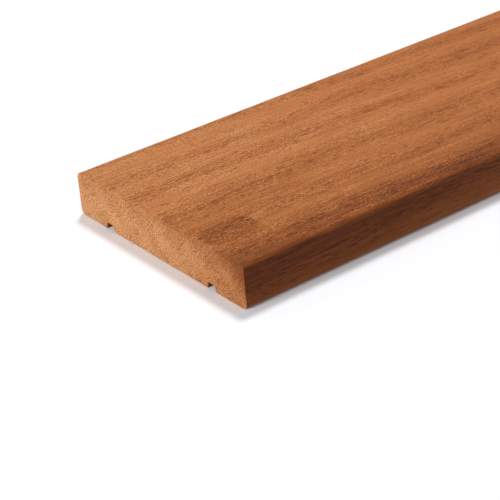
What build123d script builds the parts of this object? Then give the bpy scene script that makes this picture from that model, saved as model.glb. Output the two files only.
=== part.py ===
"""A hardwood plank: one planed board, smooth on its face and with two relief grooves along its back.

The board lies flat with the smooth face up. X runs along its length, Y across its width and Z up through
its thickness. The origin is on the floor, under the middle of the board. Millimetres.
"""

import os

from build123d import *

# The stock size: planed width and thickness, cross-cut to a trade length.
LENGTH = 1850.0
WIDTH = 145.0
THICKNESS = 25.0

# The planer rounds the four long arrises, so that a bare foot or hand meets no sharp edge.
ARRIS_RADIUS = 3.0

# The relief grooves let the back move with the weather, which keeps the board from cupping.
GROOVE_WIDTH = 7.0  # across the mouth, on the back
GROOVE_DEPTH = 3.5
GROOVE_DRAFT = 15.0  # lean of each wall from upright, in degrees
GROOVE_FLOOR_RADIUS = 0.8  # between a wall and the floor
GROOVE_INSET = 28.0  # from the board's long edge to the middle of the groove

# One groove, drawn with its mouth on the X axis and its floor above it.
with BuildSketch() as groove:
    Trapezoid(GROOVE_WIDTH, GROOVE_DEPTH, 90.0 - GROOVE_DRAFT, align=(Align.CENTER, Align.MIN))
    fillet(groove.vertices().group_by(Axis.Y)[-1], GROOVE_FLOOR_RADIUS)

# The section stands on the plane of one sawn end and is drawn along the whole length.
sawn_end = Plane.YZ.offset(-LENGTH / 2)
groove_y = WIDTH / 2 - GROOVE_INSET

with BuildPart() as plank:
    with BuildSketch(sawn_end) as section:
        RectangleRounded(WIDTH, THICKNESS, ARRIS_RADIUS, align=(Align.CENTER, Align.MIN))
        with Locations((-groove_y, 0), (groove_y, 0)):
            add(groove.sketch, mode=Mode.SUBTRACT)
    extrude(amount=LENGTH)

plank.part.label = "plank"
os.makedirs("parts", exist_ok=True)
export_step(plank.part, "parts/plank.step")

print(f"plank: {LENGTH:g} x {WIDTH:g} x {THICKNESS:g} mm, {plank.part.volume / 1e6:.3f} litres of wood")
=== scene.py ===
# %% [markdown]
# # A planed hardwood plank
#
# This lesson dresses one board: 145 mm wide, 25 mm thick and 1.85 m long, smooth on its face, with two
# relief grooves along its back. Its shape and size come from the frame that is loaded first. Everything
# below gives that shape its surface: the rounded arrises, the raised grain, the colour of the wood and
# the sawn ends.

# %% Load the frame
import math

import bpy
import numpy as np
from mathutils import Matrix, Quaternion, Vector


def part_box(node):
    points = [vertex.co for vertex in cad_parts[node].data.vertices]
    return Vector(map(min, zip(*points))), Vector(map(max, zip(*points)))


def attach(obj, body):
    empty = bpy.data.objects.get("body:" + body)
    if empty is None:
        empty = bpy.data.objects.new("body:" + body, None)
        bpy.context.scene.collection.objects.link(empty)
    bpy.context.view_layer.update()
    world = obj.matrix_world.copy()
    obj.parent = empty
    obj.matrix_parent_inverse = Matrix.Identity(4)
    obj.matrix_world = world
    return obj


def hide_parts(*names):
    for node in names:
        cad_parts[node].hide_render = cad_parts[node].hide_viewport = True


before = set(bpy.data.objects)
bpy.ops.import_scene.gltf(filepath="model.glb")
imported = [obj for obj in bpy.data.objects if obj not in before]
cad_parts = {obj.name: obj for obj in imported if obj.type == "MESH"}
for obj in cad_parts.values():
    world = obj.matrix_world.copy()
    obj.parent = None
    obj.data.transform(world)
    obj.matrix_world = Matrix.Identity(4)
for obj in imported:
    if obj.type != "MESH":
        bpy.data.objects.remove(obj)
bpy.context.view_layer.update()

MM = 0.001  # metres in a millimetre
low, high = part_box("plank")
LENGTH, WIDTH, THICKNESS = (side / MM for side in high - low)
print(f"frame: {LENGTH:.0f} x {WIDTH:.0f} x {THICKNESS:.0f} mm")

# %% [markdown]
# ## The section
#
# A moulder planes all four sides of the board in one pass, so every cut across it is the same: rounded
# long arrises, a flat face, and two grooves with leaning walls in the back. The section could be a curve
# with a bevel, but a list of columns across the board is plainer. Each column has a place across, a
# height on the back and a drop from the face, so the same columns also fill the sawn ends with a grid.

# %% Columns across the board
ARRIS_RADIUS = 3.0
GROOVE_WIDTH = 7.0  # across the mouth
GROOVE_DEPTH = 3.5
GROOVE_DRAFT = math.radians(15.0)
GROOVE_FLOOR_RADIUS = 0.8
GROOVE_INSET = 28.0  # from the long edge to the groove's middle
GROOVE_MIDDLE = WIDTH / 2 - GROOVE_INSET  # from the middle of the board
COLUMN_STEP = 1.3
ARC_STEPS = 8  # round a long arris
FLOOR_POINTS = 3  # from the middle of a groove's floor to its bend
BEND_POINTS = 6  # round that bend, its two ends among them


def groove_half():
    """Half of a groove, from its middle to its mouth, as (distance from the middle, depth)."""
    bend_depth = GROOVE_DEPTH - GROOVE_FLOOR_RADIUS
    lean = bend_depth * math.tan(GROOVE_DRAFT)
    bend_at = GROOVE_WIDTH / 2 - lean - GROOVE_FLOOR_RADIUS / math.cos(GROOVE_DRAFT)
    points = [(away, GROOVE_DEPTH) for away in np.linspace(0, bend_at, FLOOR_POINTS)]
    for turn in np.linspace(math.pi / 2, GROOVE_DRAFT, BEND_POINTS)[1:]:
        away = bend_at + GROOVE_FLOOR_RADIUS * math.cos(turn)
        points.append((away, bend_depth + GROOVE_FLOOR_RADIUS * math.sin(turn)))
    last_away, last_depth = points[-1]
    points.append(((last_away + GROOVE_WIDTH / 2) / 2, last_depth / 2))
    points.append((GROOVE_WIDTH / 2, 0.0))
    return points


def land(start, stop):
    """A flat stretch in even columns: (place across, height on the back, drop from the face)."""
    count = max(2, round((stop - start) / COLUMN_STEP) + 1)
    return [(across, 0.0, 0.0) for across in np.linspace(start, stop, count)]


def half_section():
    """The columns from the middle of the board to one long edge."""
    groove = groove_half()
    columns = land(0.0, GROOVE_MIDDLE - GROOVE_WIDTH / 2)
    columns += [(GROOVE_MIDDLE - away, depth, 0.0) for away, depth in groove[-2::-1]]
    columns += [(GROOVE_MIDDLE + away, depth, 0.0) for away, depth in groove[1:]]
    columns += land(GROOVE_MIDDLE + GROOVE_WIDTH / 2, WIDTH / 2 - ARRIS_RADIUS)[1:]
    for turn in np.linspace(math.pi / 2, 0.0, ARC_STEPS + 1)[1:]:
        across = WIDTH / 2 - ARRIS_RADIUS * (1 - math.cos(turn))
        drop = ARRIS_RADIUS * (1 - math.sin(turn))
        columns.append((across, drop, drop))
    return columns


right = half_section()
left = [(-across, back, drop) for across, back, drop in right[:0:-1]]
columns = np.array(left + right)
back_line = np.stack([columns[:, 0], columns[:, 1]], 1)
face_line = np.stack([columns[:, 0], THICKNESS - columns[:, 2]], 1)
print(f"section: {len(columns)} columns")

# %% [markdown]
# ## The skin
#
# The skin is that section drawn along the board, ring by ring. Rings stand closer together near the end
# that the picture shows. The cross-cut leaves a crisp arris that handling soon breaks, so the last half
# millimetre of each end turns in by a small quarter round. A grid fills each sawn end, so the relief
# that comes next has points to move there too.

# %% Rings along the board
ROWS = 14  # across the thickness
BROKEN_ARRIS = 0.5
ARRIS_STEPS = 4
NEAR_LENGTH = 360.0  # the stretch that the picture shows
NEAR_STEP = 3.0
FAR_STEP = 10.0

climb = np.linspace(0, 1, ROWS + 1)[1:-1, None]
right_side = back_line[-1] + (face_line[-1] - back_line[-1]) * climb
left_side = back_line[0] + (face_line[0] - back_line[0]) * climb
outline = np.concatenate([back_line, right_side, face_line[::-1], left_side[::-1]])
ahead = np.roll(outline, -1, 0) - outline
ahead /= np.linalg.norm(ahead, axis=1)[:, None]
tangent = ahead + np.roll(ahead, 1, 0)
tangent /= np.linalg.norm(tangent, axis=1)[:, None]
outward = np.stack([tangent[:, 1], -tangent[:, 0]], 1)


def stations():
    """Places of the rings along the board, in millimetres from the end that faces the camera."""
    turn_in = BROKEN_ARRIS * (1 - np.cos(np.linspace(0, math.pi / 2, ARRIS_STEPS + 1)))
    near = np.arange(NEAR_STEP, NEAR_LENGTH + NEAR_STEP / 2, NEAR_STEP)
    far_count = round((LENGTH - NEAR_LENGTH) / FAR_STEP)
    far = np.linspace(NEAR_LENGTH, LENGTH, far_count + 1)[1:-1]
    return np.concatenate([turn_in, [2 * BROKEN_ARRIS], near, far, LENGTH - turn_in[::-1]])


rings = stations()
to_end = np.minimum(rings, LENGTH - rings)
short_of_round = np.clip(BROKEN_ARRIS - to_end, 0, None)
inset = BROKEN_ARRIS - np.sqrt(BROKEN_ARRIS**2 - short_of_round**2)
print(f"skin: {len(rings)} rings of {len(outline)} points")

# %% The mesh of the board
ring_size = len(outline)
column_count = len(columns)
points = np.empty((len(rings), ring_size, 3))
points[:, :, 0] = (rings - LENGTH / 2)[:, None]
points[:, :, 1:] = outline - outward * inset[:, None, None]

ring_start = np.arange(len(rings) - 1)[:, None] * ring_size
here = np.arange(ring_size)
following = (here + 1) % ring_size
skin_corners = [
    ring_start + here,
    ring_start + following,
    ring_start + ring_size + following,
    ring_start + ring_size + here,
]
skin = np.stack(skin_corners, -1).reshape(-1, 4)


def sawn_end(ring, first_free):
    """A grid over one end: the numbers of its points by row and column, and the points inside its rim."""
    numbers = np.empty((ROWS + 1, column_count), int)
    base = ring * ring_size
    numbers[0] = base + np.arange(column_count)
    numbers[1:-1, -1] = base + column_count + np.arange(ROWS - 1)
    numbers[-1] = base + column_count + ROWS - 1 + np.arange(column_count)[::-1]
    numbers[1:-1, 0] = base + 2 * column_count + ROWS - 1 + np.arange(ROWS - 1)[::-1]
    inside = (ROWS - 1, column_count - 2)
    numbers[1:-1, 1:-1] = first_free + np.arange(inside[0] * inside[1]).reshape(inside)
    flat = points.reshape(-1, 3)
    foot, top = flat[numbers[0, 1:-1]], flat[numbers[-1, 1:-1]]
    inner = foot + (top - foot) * climb[:, :, None]
    return numbers, inner.reshape(-1, 3)


def grid_faces(numbers):
    """The four-sided faces between the points of a grid."""
    corners = [numbers[:-1, :-1], numbers[:-1, 1:], numbers[1:, 1:], numbers[1:, :-1]]
    return np.stack(corners, -1).reshape(-1, 4)


first_numbers, first_inner = sawn_end(0, points.size // 3)
last_numbers, last_inner = sawn_end(len(rings) - 1, points.size // 3 + len(first_inner))
vertices = np.concatenate([points.reshape(-1, 3), first_inner, last_inner]) * MM
end_faces = np.concatenate([grid_faces(first_numbers)[:, ::-1], grid_faces(last_numbers)])
faces = np.concatenate([skin, end_faces])

mesh = bpy.data.meshes.new("plank_board")
mesh.from_pydata(vertices.tolist(), [], faces.tolist())
plank = bpy.data.objects.new("plank_board", mesh)
bpy.context.scene.collection.objects.link(plank)
print(f"board: {len(vertices)} points, {len(faces)} faces")

# %% [markdown]
# ## A flat map of the board
#
# The wood below needs no map, because its grain runs through the solid. A map is still useful to whoever
# bakes the board for another program. The skin is unrolled as one sheet, with more room for the near
# end, and the two sawn ends lie above it.

# %% Unroll the skin
SKIN_TOP = 0.90  # of the map's height
ENDS_FOOT = 0.915  # of the map's height
END_WIDTH = 0.49  # of the map's width
NEAR_SHARE = 0.32  # of the map's width

girth = np.concatenate([[0], np.cumsum(np.linalg.norm(np.roll(outline, -1, 0) - outline, axis=1))])
up_map = girth / girth[-1] * SKIN_TOP
along_map = np.interp(rings, [0, NEAR_LENGTH, LENGTH], [0, NEAR_SHARE, 1])
skin_map = np.empty((len(rings) - 1, ring_size, 4, 2))
skin_map[:, :, (0, 1), 0] = along_map[:-1, None, None]
skin_map[:, :, (2, 3), 0] = along_map[1:, None, None]
skin_map[:, :, (0, 3), 1] = up_map[None, :-1, None]
skin_map[:, :, (1, 2), 1] = up_map[None, 1:, None]


def end_map(which):
    """The map of one sawn end, across its own strip above the skin."""
    corners = vertices[end_faces.reshape(2, -1)[which]] / MM
    across = (corners[:, 1] / WIDTH + 0.5) * END_WIDTH + which * (1 - END_WIDTH)
    return np.stack([across, ENDS_FOOT + corners[:, 2] / THICKNESS * (1 - ENDS_FOOT)], 1)


flat_map = mesh.uv_layers.new(name="OFBake")
map_places = np.concatenate([skin_map.reshape(-1, 2), end_map(0), end_map(1)])
flat_map.uv.foreach_set("vector", map_places.ravel())
print(f"map: {girth[-1]:.0f} mm round the section")

# %% [markdown]
# ## Helpers for nodes and colours
#
# Colours are written as they look on a screen, in sRGB hex. Shaders add up light, so one function turns
# a hex value to linear numbers. Another adds a node, sets it and links it, so that a tree of nodes reads
# from top to bottom.


# %% Add a node, read a colour
def linear(hex_colour):
    """An sRGB hex colour as linear red, green, blue and a full alpha."""
    channels = [int(hex_colour[start : start + 2], 16) / 255 for start in (1, 3, 5)]
    lit = [c / 12.92 if c <= 0.04045 else ((c + 0.055) / 1.055) ** 2.4 for c in channels]
    return (*lit, 1.0)


def add(tree, kind, inputs, stops=(), **settings):
    """Adds a node to a tree.

    An input is a value, a socket, or a node whose first output is meant. Stops fill a ramp.
    """
    node = tree.nodes.new(kind)
    for name, value in settings.items():
        setattr(node, name, value)
    for name, value in inputs.items():
        if isinstance(value, bpy.types.Node):
            value = value.outputs[0]
        if isinstance(value, bpy.types.NodeSocket):
            tree.links.new(value, node.inputs[name])
        else:
            node.inputs[name].default_value = value
    for number, (place, colour) in enumerate(stops):
        elements = node.color_ramp.elements
        stop = elements[number] if number < len(elements) else elements.new(place)
        stop.position = place
        stop.color = colour
    return node


print(f"a grey of #808080 is {linear('#808080')[0]:.2f} in linear light")

# %% [markdown]
# ## Grain
#
# Wood is a bundle of fibres and vessels that all run one way. Cut along them, they show as streaks, and
# cut across, as dots. A solid noise that is drawn out along the board gives both at once: streaks on the
# face and the edges, dots on the sawn ends, and each streak meets its own dot. The fibres don't run
# quite straight. They sweep slowly to and fro as the tree grew, and a slow noise bends them a little
# more.

# %% Noise drawn out along the fibres
SWEEPS = ((4.5, 740.0), (7.0, 1300.0))  # mm to either side, and mm from crest to crest
WANDER = 7.0  # mm to either side
WANDER_SIZE = (420.0, 60.0, 60.0)  # length, width and height of a slow bend, in mm
WANDER_SEED = 31.81
NOISE_DETAIL = 1.0  # each noise has one finer noise on top
NOISE_MIDDLE = 0.5  # noise goes up and down about this


def grain(tree, place, size, seed):
    """Noise whose flecks have this length, width and height in millimetres."""
    scale = [1 / (side * MM) for side in size]
    shift = (seed, seed, seed)
    spread = add(tree, "ShaderNodeVectorMath", {0: place, 1: scale, 2: shift}, operation="MULTIPLY_ADD")
    return add(tree, "ShaderNodeTexNoise", {"Vector": spread, "Scale": 1.0, "Detail": NOISE_DETAIL})


def fibre_place(tree, place):
    """Where a point lies among the fibres, once their sweep and their slow bends are taken out."""
    along = add(tree, "ShaderNodeSeparateXYZ", {0: place}).outputs["X"]
    aside = sum(reach for reach, length in SWEEPS) * MM
    for reach, length in SWEEPS:
        pace = math.tau / (length * MM)
        turn = add(tree, "ShaderNodeMath", {0: along, 1: pace, 2: -low.x * pace}, operation="MULTIPLY_ADD")
        swing = add(tree, "ShaderNodeMath", {0: turn}, operation="COSINE")
        aside = add(tree, "ShaderNodeMath", {0: swing, 1: -reach * MM, 2: aside}, operation="MULTIPLY_ADD")
    swept = add(tree, "ShaderNodeCombineXYZ", {"Y": aside})
    straight = add(tree, "ShaderNodeVectorMath", {0: place, 1: swept}, operation="ADD")
    bend = grain(tree, place, WANDER_SIZE, WANDER_SEED)
    span = 2 * WANDER * MM
    bent = add(
        tree,
        "ShaderNodeVectorMath",
        {0: bend.outputs["Color"], 1: (0.0, span, span), 2: (0.0, -span / 2, -span / 2)},
        operation="MULTIPLY_ADD",
    )
    return add(tree, "ShaderNodeVectorMath", {0: straight, 1: bent}, operation="ADD")


print(f"fibres: {len(SWEEPS)} sweeps, and bends of {WANDER:.0f} mm to either side")

# %% [markdown]
# ## Raised grain
#
# Once a planed board has been in the weather, its soft bands lie a little lower than its hard ones.
# Sculpting that by hand would take long, and a bump in the shader wouldn't be in the mesh. A small tree
# of Geometry Nodes moves each point inwards by the same noise that colours the streaks, so that the
# relief and the colour agree.

# %% Move the skin by the streaks
STREAK_SIZE = (45.0, 3.2, 3.2)
STREAK_SEED = 5.3
RELIEF = 0.16 * MM
SHARP_ANGLE = math.radians(40.0)


def raise_grain(board):
    """Lets the streaks sink into the skin, and makes that the board's own mesh."""
    tree = bpy.data.node_groups.new("raised_grain", "GeometryNodeTree")
    tree.interface.new_socket("Geometry", in_out="INPUT", socket_type="NodeSocketGeometry")
    tree.interface.new_socket("Geometry", in_out="OUTPUT", socket_type="NodeSocketGeometry")
    skin_in = add(tree, "NodeGroupInput", {})
    place = fibre_place(tree, add(tree, "GeometryNodeInputPosition", {}))
    streaks = grain(tree, place, STREAK_SIZE, STREAK_SEED)
    depth = add(tree, "ShaderNodeMath", {0: streaks, 1: -RELIEF}, operation="MULTIPLY")
    normal = add(tree, "GeometryNodeInputNormal", {})
    offset = add(tree, "ShaderNodeVectorMath", {0: normal, "Scale": depth}, operation="SCALE")
    moved = add(tree, "GeometryNodeSetPosition", {"Geometry": skin_in, "Offset": offset})
    add(tree, "NodeGroupOutput", {0: moved})
    board.modifiers.new("raised_grain", "NODES").node_group = tree
    depsgraph = bpy.context.evaluated_depsgraph_get()
    relief = bpy.data.meshes.new_from_object(
        board.evaluated_get(depsgraph), preserve_all_data_layers=True, depsgraph=depsgraph
    )
    board.modifiers.clear()
    return relief


plank.data = raise_grain(plank)
plank.data.name = "plank_board"
plank.data.polygons.foreach_set("use_smooth", np.ones(len(faces), bool))
plank.data.set_sharp_from_angle(angle=SHARP_ANGLE)
raised = np.empty(len(vertices) * 3)
plank.data.vertices.foreach_get("co", raised)
sunk = np.linalg.norm(raised.reshape(-1, 3) - vertices, axis=1) / MM
print(f"relief: up to {sunk.max():.2f} mm deep, {sunk.mean():.2f} mm on the whole")

# %% [markdown]
# ## Painted highlight on the long arrises
#
# The long arrises are painted paler than the rest: a painted highlight where their rounding catches the
# light.
# How near a point is to one is known from the mesh, so it is worked out here and stored on the points as a
# number, which the wood's colour reads. The painted highlight reaches a little further down the narrow
# edges than over the wide faces.

# %% Nearness to the long arrises
# How far the painted highlight along the long arrises reaches
HIGHLIGHT_REACH_DOWN = 4.5  # down the narrow edges
HIGHLIGHT_REACH_OVER = 3.5  # over the wide faces

from_edge = WIDTH / 2 - abs(vertices[:, 1] / MM)
from_face = THICKNESS / 2 - abs(vertices[:, 2] / MM - THICKNESS / 2)
# Painted highlight: 1 on a long arris, fading to 0 at its reach
arris_highlight = np.clip(1 - np.maximum(from_edge / HIGHLIGHT_REACH_OVER, from_face / HIGHLIGHT_REACH_DOWN), 0, 1)
plank.data.attributes.new("arris_highlight", "FLOAT", "POINT").data.foreach_set("value", arris_highlight)
print(f"rubbed: {(arris_highlight > 0).mean():.0%} of the points")

# %% [markdown]
# ## The colour of the wood
#
# This is a dense, red-brown tropical hardwood, planed and left bare. Its face runs from dark heartwood
# along the near edge to paler wood at the far one. On it lie growth bands about 26 mm apart, a mottle,
# fine streaks and short dark vessel lines. All of these are added up to one number, the tone, and a ramp
# of wood colours turns the tone to a colour. Dark wood is then redder and pale wood yellower everywhere,
# as on the real board.

# %% Where the heartwood is, and how the growth bands lie
HEART_LEAN = 1.05  # heartwood and bands lean: this much further across for each mm up
HEART_SWEEP = 0.35  # the heartwood follows this much of the fibres' sweep
ACROSS_TONES = (  # share of the way from the near edge to the far one, and the tone there
    (0.02, 0.17),
    (0.05, 0.235),
    (0.08, 0.30),
    (0.125, 0.415),
    (0.18, 0.49),
    (0.33, 0.545),
    (0.60, 0.594),
    (1.0, 0.628),
)
BAND_SPACING = 25.7
BAND_START = -0.03  # radians: puts a dark band about two thirds of the way across the face
BAND_SHAKE = 2.4  # radians to either side
SHAKE_SIZE = (160.0, 20.0, 20.0)
SHAKE_SEED = 17.4


def leaning(tree, place):
    """How far across the board a point lies, once the lean of the heartwood is taken out."""
    spot = add(tree, "ShaderNodeSeparateXYZ", {0: place}).outputs
    return add(
        tree, "ShaderNodeMath", {0: spot["Z"], 1: -HEART_LEAN, 2: spot["Y"]}, operation="MULTIPLY_ADD"
    )


def growth(tree, place, fibre):
    """The tone from dark heart to pale wood, and the wave of the growth bands.

    The wave goes from -1 in a dark band to 1 in a pale one.
    """
    swept = add(
        tree, "ShaderNodeMix", {"Factor": HEART_SWEEP, 4: place, 5: fibre}, data_type="VECTOR"
    ).outputs[1]
    near_edge = (-WIDTH / 2 - HEART_LEAN * THICKNESS) * MM
    across = add(
        tree,
        "ShaderNodeMapRange",
        {"Value": leaning(tree, swept), "From Min": near_edge, "From Max": near_edge + WIDTH * MM},
    )
    greys = [(share, (tone, tone, tone, 1.0)) for share, tone in ACROSS_TONES]
    heart = add(tree, "ShaderNodeValToRGB", {"Fac": across}, stops=greys)
    shake = grain(tree, fibre, SHAKE_SIZE, SHAKE_SEED)
    start = add(
        tree,
        "ShaderNodeMath",
        {0: shake, 1: 2 * BAND_SHAKE, 2: BAND_START - BAND_SHAKE},
        operation="MULTIPLY_ADD",
    )
    turn = add(
        tree,
        "ShaderNodeMath",
        {0: leaning(tree, fibre), 1: math.tau / (BAND_SPACING * MM), 2: start},
        operation="MULTIPLY_ADD",
    )
    return heart, add(tree, "ShaderNodeMath", {0: turn}, operation="SINE")


print(f"growth bands: {WIDTH / BAND_SPACING:.1f} across the board")

# %% Dark marks near the sawn end
# A mark has the layer of grain that tears its rim, its middle in mm from the sawn end, the near edge and
# the floor, its reach in mm along, across and down, and where its rim starts and ends.
MARKS = {
    "figure": ("streaks", (17.0, 33.5, 25.0), (16.0, 10.0, 1.2), (1.1, 1.7)),
    "shade": ("streaks", (25.0, 53.0, 25.0), (60.0, 12.0, 2.0), (0.3, 3.0)),
    "dash": ("fibres", (56.0, 13.0, 25.0), (6.0, 1.8, 2.0), (1.2, 1.8)),
}


def dark_mark(tree, place, layers, torn_by, middle, reach, rim):
    """1 inside a mark with rounded corners, 0 outside, and a ragged rim between."""
    shrink = [1 / (side * MM) for side in reach]
    centre = (low.x + middle[0] * MM, low.y + middle[1] * MM, low.z + middle[2] * MM)
    back = [-at * small for at, small in zip(centre, shrink)]
    from_middle = add(
        tree, "ShaderNodeVectorMath", {0: place, 1: shrink, 2: back}, operation="MULTIPLY_ADD"
    )
    squared = add(tree, "ShaderNodeVectorMath", {0: from_middle, 1: from_middle}, operation="MULTIPLY")
    fourth = add(tree, "ShaderNodeVectorMath", {0: squared, 1: squared}, operation="DOT_PRODUCT")
    torn = add(tree, "ShaderNodeMath", {0: fourth.outputs["Value"], 1: layers[torn_by]}, operation="ADD")
    return add(
        tree,
        "ShaderNodeMapRange",
        {"Value": torn, "From Min": rim[0], "From Max": rim[1], "To Min": 1.0, "To Max": 0.0},
        interpolation_type="SMOOTHSTEP",
    )


print(f"dark marks: {', '.join(MARKS)}")

# %% Narrow edges and dry ends
DRY_LENGTH = 280.0  # the ends dry out, and are paler and livelier there
EDGE_DRYNESS = -1.0  # on the narrow edges at a sawn end, where the face has 1: below 0, so they turn darker there


def narrow_edge(tree):
    """1 on the two narrow edges, which look across the board, and 0 on its face and back."""
    normal = add(tree, "ShaderNodeTexCoord", {}).outputs["Normal"]
    across = add(tree, "ShaderNodeSeparateXYZ", {0: normal}).outputs["Y"]
    return add(tree, "ShaderNodeMath", {0: across}, operation="ABSOLUTE")


def dryness(tree, place, edge):
    """1 on the face at a sawn end, and 0 where the wood never dried out. The narrow edges go below 0."""
    along = add(tree, "ShaderNodeSeparateXYZ", {0: place}).outputs["X"]
    from_middle = add(tree, "ShaderNodeMath", {0: along}, operation="ABSOLUTE")
    less = EDGE_DRYNESS - 1.0
    at_end = add(tree, "ShaderNodeMath", {0: edge, 1: less, 2: 1.0}, operation="MULTIPLY_ADD")
    return add(
        tree,
        "ShaderNodeMapRange",
        {
            "Value": from_middle,
            "From Min": (LENGTH / 2 - DRY_LENGTH) * MM,
            "From Max": LENGTH / 2 * MM,
            "To Max": at_end,
        },
        interpolation_type="SMOOTHSTEP",
    )


print(f"dry ends: {2 * DRY_LENGTH / LENGTH:.0%} of the length")

# %% Layers of grain, from slow drifts to single vessels
LAYERS = {  # length, width and height of the noise in mm, and its seed
    "drift": ((800.0, 130.0, 130.0), 18.71),
    "stripes": ((300.0, 13.0, 13.0), 3.7),
    "mottle": ((40.0, 9.0, 9.0), 8.23),
    "streaks": (STREAK_SIZE, STREAK_SEED),
    "fibres": ((28.0, 0.95, 0.95), 7.3),  # fibres are finer than this: drawn wider, to show in the picture
    "flecks": ((1.25, 0.6, 0.6), 1.9),
}
VESSEL_SIZE = (6.5, 0.8, 0.8)  # vessels are about 0.3 mm wide: drawn wider, to show in the picture
VESSEL_SEED = 4.1
VESSEL_START = 0.60  # the height of the noise at which a vessel starts to open
VESSEL_FULL = 0.68  # and at which it is wide open
EDGE_VESSELS = 0.75  # how open they are on the narrow edges, where the face has 1


def open_vessels(tree, fibre, wave, mottle, edge, crowding, clustering):
    """1 where a vessel is open on the face, and less on the narrow edges.

    Crowding gives the dark growth bands more vessels, and clustering the dark mottles.
    """
    spread = grain(tree, fibre, VESSEL_SIZE, VESSEL_SEED)
    uneven = add(tree, "ShaderNodeMath", {0: mottle, 1: NOISE_MIDDLE}, operation="SUBTRACT")
    for part, share in ((uneven, clustering), (wave, crowding)):
        spread = add(tree, "ShaderNodeMath", {0: part, 1: -share, 2: spread}, operation="MULTIPLY_ADD")
    opened = add(
        tree, "ShaderNodeMapRange", {"Value": spread, "From Min": VESSEL_START, "From Max": VESSEL_FULL}
    )
    less = EDGE_VESSELS - 1.0
    kept = add(tree, "ShaderNodeMath", {0: edge, 1: less, 2: 1.0}, operation="MULTIPLY_ADD")
    return add(tree, "ShaderNodeMath", {0: opened, 1: kept}, operation="MULTIPLY")


print(f"grain: {', '.join(LAYERS)} and vessels")

# %% How strongly the fibres and the flecks show
PLAIN_HEART = 0.57  # the tone of the heartwood at which the fibres show at their plain strength
HEART_LINES = 2.2  # how fast they gain strength where it is darker
EDGE_LINES = 0.70  # their strength on the narrow edges, where the face has 1
HEART_UNREST = 0.36  # how much calmer flecks and streaks are as the heartwood turns pale
DRY_UNREST = 0.33  # how much livelier they are at a dry end
FIGURE_UNREST = 0.15  # how much livelier they are in the dark figure
EDGE_CALM = 0.12  # how much calmer they are on the narrow edges


def fibre_strength(tree, heart, edge):
    """How strongly the fibres show."""
    most = 1 + HEART_LINES * PLAIN_HEART
    by_heart = add(tree, "ShaderNodeMath", {0: heart, 1: -HEART_LINES, 2: most}, operation="MULTIPLY_ADD")
    less = EDGE_LINES - 1.0
    by_edge = add(tree, "ShaderNodeMath", {0: edge, 1: less, 2: 1.0}, operation="MULTIPLY_ADD")
    return add(tree, "ShaderNodeMath", {0: by_heart, 1: by_edge}, operation="MULTIPLY")


def fleck_strength(tree, mottle, heart, wave, dry, figure, edge, crowding):
    """How strongly the streaks and the flecks show: more in pale mottles and in dark growth bands."""
    strength = mottle
    for part, share in (
        (heart, -HEART_UNREST),
        (wave, -2 * crowding),
        (dry, DRY_UNREST),
        (figure, FIGURE_UNREST),
        (edge, -EDGE_CALM),
    ):
        strength = add(tree, "ShaderNodeMath", {0: part, 1: share, 2: strength}, operation="MULTIPLY_ADD")
    return strength


print(f"fibres: {1 + HEART_LINES * (PLAIN_HEART - ACROSS_TONES[0][1]):.1f} times as strong in the heart")

# %% One number for the tone
FIGURE_SHARE = -0.09  # the figure is a little darker all over
FIGURE_FIBRE_SHARE = -0.18  # and darker still along its fibres
SHADE_SHARE = -0.07
DASH_SHARE = -0.12
DRY_SHARE = 0.10
# the painted highlight on the long arrises
ARRIS_HIGHLIGHT_SHARE = 0.27


def wood_tone(tree, shares, band_share, crowding, clustering, vessel_share):
    """The tone of the wood at a point, with its layers and its open vessels."""
    place = add(tree, "ShaderNodeTexCoord", {}).outputs["Object"]
    fibre = fibre_place(tree, place)
    layers = {name: grain(tree, fibre, *layer) for name, layer in LAYERS.items()}
    heart, wave = growth(tree, place, fibre)
    edge = narrow_edge(tree)
    dry = dryness(tree, place, edge)
    vessels = open_vessels(tree, fibre, wave, layers["mottle"], edge, crowding, clustering)
    marks = {name: dark_mark(tree, place, layers, *mark) for name, mark in MARKS.items()}
    figure = marks["figure"]
    figure_fibres = add(tree, "ShaderNodeMath", {0: figure, 1: layers["fibres"]}, operation="MULTIPLY")
    # the painted highlight along the long arrises, read from the points
    arris_highlight_here = add(tree, "ShaderNodeAttribute", {}, attribute_name="arris_highlight").outputs["Fac"]
    tone = heart
    for part, share in (
        (wave, band_share),
        (vessels, -vessel_share),
        (figure, FIGURE_SHARE),
        (figure_fibres, FIGURE_FIBRE_SHARE),
        (marks["shade"], SHADE_SHARE),
        (marks["dash"], DASH_SHARE),
        (dry, DRY_SHARE),
        (arris_highlight_here, ARRIS_HIGHLIGHT_SHARE),
    ):
        tone = add(tree, "ShaderNodeMath", {0: part, 1: share, 2: tone}, operation="MULTIPLY_ADD")
    lively = fleck_strength(tree, layers["mottle"], heart, wave, dry, figure, edge, crowding)
    strengths = {"streaks": lively, "fibres": fibre_strength(tree, heart, edge), "flecks": lively}
    for name, share in shares.items():
        uneven = add(tree, "ShaderNodeMath", {0: layers[name], 1: NOISE_MIDDLE}, operation="SUBTRACT")
        if name in strengths:
            share = add(tree, "ShaderNodeMath", {0: strengths[name], 1: share}, operation="MULTIPLY")
        tone = add(tree, "ShaderNodeMath", {0: uneven, 1: share, 2: tone}, operation="MULTIPLY_ADD")
    return tone, layers, vessels


print(f"tone: {ACROSS_TONES[0][1]} in the heart, {ACROSS_TONES[-1][1]} at the far edge")

# %% [markdown]
# ## Planed faces and sawn ends
#
# Both materials are the same wood. The moulder's knives leave the faces dry and even. The cross-cut saw
# tears the fibres, so a sawn end is rougher, and its broken arris with it. The end is paler towards its
# foot and darker towards the heart, and fine pale rays cross its growth bands. Bare wood has almost no
# shine: its roughness is high and its specular level low.

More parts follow.
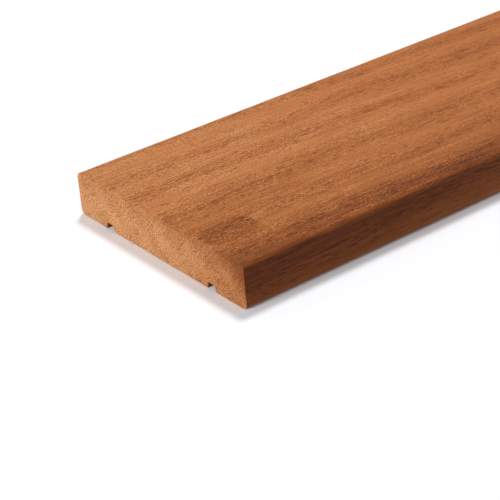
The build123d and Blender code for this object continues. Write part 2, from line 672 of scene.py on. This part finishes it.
# %% Colours of the two surfaces, and the share of each layer in their tone
PLANED_COLOURS = (
    (0.0, "#542a11"),
    (0.16, "#6e3718"),
    (0.355, "#8a4b22"),
    (0.485, "#9c5a2c"),
    (0.60, "#b06938"),
    (0.74, "#c17b47"),
    (0.87, "#d18f5d"),
    (1.0, "#dca770"),
)
# The sawn colours are a little greyer than the planed ones: a painted sheen, the veil of reflected light on
# the end laid into its colour
SAWN_COLOURS = (
    (0.0, "#542c17"),
    (0.16, "#6e3a1f"),
    (0.355, "#8a4e29"),
    (0.485, "#975b31"),
    (0.60, "#a96a3c"),
    (0.74, "#bf824f"),
    (0.87, "#cf9766"),
    (1.0, "#d9ac78"),
)
PLANED_SHARES = {
    "drift": 0.15,
    "stripes": 0.09,
    "mottle": 0.065,
    "streaks": 0.19,
    "fibres": 0.40,
    "flecks": 1.60,
}
SAWN_SHARES = {
    "drift": 0.15,
    "stripes": 0.08,
    "mottle": 0.05,
    "fibres": 0.08,
    "flecks": 1.64,
}
print(f"layers: {len(PLANED_SHARES)} on the faces, {len(SAWN_SHARES)} on the ends")

# %% Rays and shades of a sawn end
RAY_SIZE = (9.0, 0.8, 6.5)  # rays are finer than this: drawn wider, to show in the picture
RAY_SEED = 2.3
RAY_TURN = math.radians(-40.0)  # across the growth bands
RAY_SHARE = 0.20
FOOT_LIFT = 0.045  # of tone, on the lower half of a sawn end
FACE_LIFT = -0.035  # at its upper edge
HEART_LIFT = -0.045  # at its near edge
HEART_REACH = 55.0  # from the near edge


def end_tone(tree, tone):
    """The tone of a sawn end: crossed by pale rays, paler towards its foot and darker towards the heart."""
    place = add(tree, "ShaderNodeTexCoord", {}).outputs["Object"]
    turned = add(
        tree, "ShaderNodeVectorRotate", {"Vector": place, "Angle": RAY_TURN}, rotation_type="X_AXIS"
    )
    rays = grain(tree, turned, RAY_SIZE, RAY_SEED)
    uneven = add(tree, "ShaderNodeMath", {0: rays, 1: NOISE_MIDDLE}, operation="SUBTRACT")
    tone = add(tree, "ShaderNodeMath", {0: uneven, 1: RAY_SHARE, 2: tone}, operation="MULTIPLY_ADD")
    spot = add(tree, "ShaderNodeSeparateXYZ", {0: place}).outputs
    for axis, start, stop, first_lift, last_lift in (
        ("Z", (low.z + high.z) / 2, high.z, FOOT_LIFT, FACE_LIFT),
        ("Y", low.y, low.y + HEART_REACH * MM, HEART_LIFT, 0.0),
    ):
        ends = {"From Min": start, "From Max": stop, "To Min": first_lift, "To Max": last_lift}
        lift = add(tree, "ShaderNodeMapRange", {"Value": spot[axis], **ends})
        tone = add(tree, "ShaderNodeMath", {0: tone, 1: lift}, operation="ADD")
    return tone, rays


print(f"rays: {RAY_SIZE[1]} mm wide, {abs(math.degrees(RAY_TURN)):.0f} degrees off upright")

# %% Bare wood
WOOD_IOR = 1.5
WOOD_SPECULAR = 0.10  # bare, dry fibres have hardly any shine
BUMP_STRENGTH = 0.6


def new_material(name):
    """An empty material and its tree of nodes."""
    material = bpy.data.materials.new(name)
    material.use_nodes = True
    material.node_tree.nodes.clear()
    return material, material.node_tree


def wood(name, colours, shares, bands, vessel_share, roughness, bump_depth, is_sawn):
    """Bare wood: the tone's colour, a dry surface, and pits where the vessels are open.

    Bands holds how dark the growth bands are, how much they crowd the vessels, and how much mottles do.
    """
    material, tree = new_material(name)
    tone, layers, vessels = wood_tone(tree, shares, *bands, vessel_share)
    ridges = layers["fibres"]
    if is_sawn:
        tone, ridges = end_tone(tree, tone)
    stops = [(place, linear(colour)) for place, colour in colours]
    colour = add(tree, "ShaderNodeValToRGB", {"Fac": tone}, stops=stops)
    height = add(tree, "ShaderNodeMath", {0: ridges, 1: vessels}, operation="SUBTRACT")
    relief = {"Height": height, "Strength": BUMP_STRENGTH, "Distance": bump_depth}
    bump = add(tree, "ShaderNodeBump", relief)
    smooth, rough = roughness
    dull = add(tree, "ShaderNodeMapRange", {"Value": layers["streaks"], "To Min": smooth, "To Max": rough})
    surface = add(
        tree,
        "ShaderNodeBsdfPrincipled",
        {
            "Base Color": colour,
            "Roughness": dull,
            "IOR": WOOD_IOR,
            "Specular IOR Level": WOOD_SPECULAR,
            "Normal": bump,
        },
    )
    add(tree, "ShaderNodeOutputMaterial", {"Surface": surface})
    return material


planed = wood(
    "planed_tropical_hardwood",
    PLANED_COLOURS,
    PLANED_SHARES,
    bands=(0.027, 0.05, 0.075),
    vessel_share=0.24,
    roughness=(0.62, 0.8),
    bump_depth=0.12 * MM,
    is_sawn=False,
)
sawn = wood(
    "sawn_end_grain",
    SAWN_COLOURS,
    SAWN_SHARES,
    bands=(0.015, 0.01, 0.15),
    vessel_share=0.47,
    roughness=(0.8, 0.95),
    bump_depth=0.2 * MM,
    is_sawn=True,
)
print(f"materials: {planed.name}, {sawn.name}")

# %% Planed wood on the faces, sawn wood on the ends and their broken arrises
SAWN_SLOT = 1

plank.data.materials.append(planed)
plank.data.materials.append(sawn)
arris_faces = ARRIS_STEPS * ring_size
slots = np.zeros(len(faces), np.int32)
slots[:arris_faces] = SAWN_SLOT
slots[len(skin) - arris_faces :] = SAWN_SLOT
plank.data.polygons.foreach_set("material_index", slots)
print(f"sawn: {(slots == SAWN_SLOT).sum()} of {len(slots)} faces")

# %% [markdown]
# ## The board in the frame
#
# The board moves with the frame's one body, and stands in for its plain solid.

# %% Join the board to the frame
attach(plank, "root")
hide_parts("plank")
print(f"{plank.name} stands for plank")

# %% [markdown]
# ## Floor and light
#
# The picture shows the board on plain white, in soft light. A floor that is white to the camera would
# also throw white light up at the shaded edge, so to the rays that carry light on to the board it is a
# pale, cool grey. Distant lamps with a wide angle light the whole length evenly, as large soft boxes far
# away would. One stands low and shines along the board onto the sawn end. A weaker one stands high and a
# little behind, so that a narrow soft shadow falls towards the camera.

# %% A white floor
FLOOR_HALF = 30.0  # metres
BOUNCE_COLOUR = "#d6dbf2"
PAPER_WHITE = 0.97
PAPER_GLOW = 0.05  # lifts the lit paper to full white
WHITE = (1.0, 1.0, 1.0, 1.0)


def seen_directly(tree):
    """1 for rays that show the background to the eye: straight, mirrored or through glass."""
    path = add(tree, "ShaderNodeLightPath", {})
    seen = path.outputs["Is Camera Ray"]
    for name in ("Is Glossy Ray", "Is Transmission Ray"):
        seen = add(tree, "ShaderNodeMath", {0: seen, 1: path.outputs[name]}, operation="MAXIMUM")
    return seen


floor_mesh = bpy.data.meshes.new("floor")
corners = [(x * FLOOR_HALF, y * FLOOR_HALF, low.z) for x, y in ((-1, -1), (1, -1), (1, 1), (-1, 1))]
floor_mesh.from_pydata(corners, [], [(0, 1, 2, 3)])
floor = bpy.data.objects.new("floor", floor_mesh)
bpy.context.scene.collection.objects.link(floor)

paper, tree = new_material("white_paper_sweep")
lit_paper = add(tree, "ShaderNodeBsdfDiffuse", {"Color": (PAPER_WHITE, PAPER_WHITE, PAPER_WHITE, 1.0)})
glow = add(tree, "ShaderNodeEmission", {"Color": WHITE, "Strength": PAPER_GLOW})
shown = add(tree, "ShaderNodeAddShader", {0: lit_paper, 1: glow})
bounce = add(tree, "ShaderNodeBsdfDiffuse", {"Color": linear(BOUNCE_COLOUR)})
mixed = add(tree, "ShaderNodeMixShader", {0: seen_directly(tree), 1: bounce, 2: shown})
add(tree, "ShaderNodeOutputMaterial", {"Surface": mixed})
floor_mesh.materials.append(paper)
print(f"floor: {paper.name}")

# %% World
SKY_COLOUR = "#eaf0ff"
AMBIENT = 0.31

world = bpy.data.worlds.new("studio")
bpy.context.scene.world = world
world.use_nodes = True
tree = world.node_tree
tree.nodes.clear()
sky_light = (*(AMBIENT * channel for channel in linear(SKY_COLOUR)[:3]), 1.0)
sky_stops = ((0.0, sky_light), (1.0, WHITE))
sky = add(tree, "ShaderNodeValToRGB", {"Fac": seen_directly(tree)}, stops=sky_stops)
backdrop = add(tree, "ShaderNodeBackground", {"Color": sky, "Strength": 1.0})
add(tree, "ShaderNodeOutputWorld", {"Surface": backdrop})
print(f"world: {AMBIENT} all round")

# %% Lamps
LAMPS = {  # the way from the board to the lamp, its level, and its width in degrees
    "end_light": ((-0.94, 0.0, 0.34), 0.81, 20),
    "back_light": ((0.30, 0.24, 0.92), 0.5, 12),
}


def soft_box(name, towards, level, width):
    """A distant lamp. Level 1 lights a surface that faces it fully."""
    lamp = bpy.data.lights.new(name, "SUN")
    lamp.energy = level * math.pi
    lamp.angle = math.radians(width)
    holder = bpy.data.objects.new(name, lamp)
    holder.rotation_mode = "QUATERNION"
    holder.rotation_quaternion = Vector(towards).to_track_quat("Z", "Y")
    bpy.context.scene.collection.objects.link(holder)


for name, lamp in LAMPS.items():
    soft_box(name, *lamp)
print(f"lamps: {', '.join(LAMPS)}")

# %% [markdown]
# ## Camera
#
# A long lens looks down on the near corner of the sawn end. The numbers were fitted to the edges of the
# board in the picture.

# %% Camera
AIM = (12.03, 9.96)  # mm in from the sawn end and from the near edge, on the face
DISTANCE = 833.6
AZIMUTH = math.radians(-35.74)
ELEVATION = math.radians(28.64)
ROLL = math.radians(-4.74)
LENS = 124.97
SENSOR = 36.0
CLIP_START = 0.05  # metres

camera_data = bpy.data.cameras.new("camera")
camera_data.lens = LENS
camera_data.sensor_width = SENSOR
camera_data.clip_start = CLIP_START
camera = bpy.data.objects.new("camera", camera_data)
bpy.context.scene.collection.objects.link(camera)
flat = math.cos(ELEVATION)
back = Vector((math.sin(AZIMUTH) * flat, -math.cos(AZIMUTH) * flat, math.sin(ELEVATION)))
aim = Vector((low.x + AIM[0] * MM, low.y + AIM[1] * MM, high.z))
camera.location = aim + back * DISTANCE * MM
camera.rotation_mode = "QUATERNION"
level_view = (-back).to_track_quat("-Z", "Y")
camera.rotation_quaternion = level_view @ Quaternion((0, 0, 1), ROLL)
bpy.context.scene.camera = camera
bpy.context.scene.view_settings.view_transform = "Standard"
print(f"camera: {LENS:.0f} mm lens, {DISTANCE * MM:.2f} m from the corner")
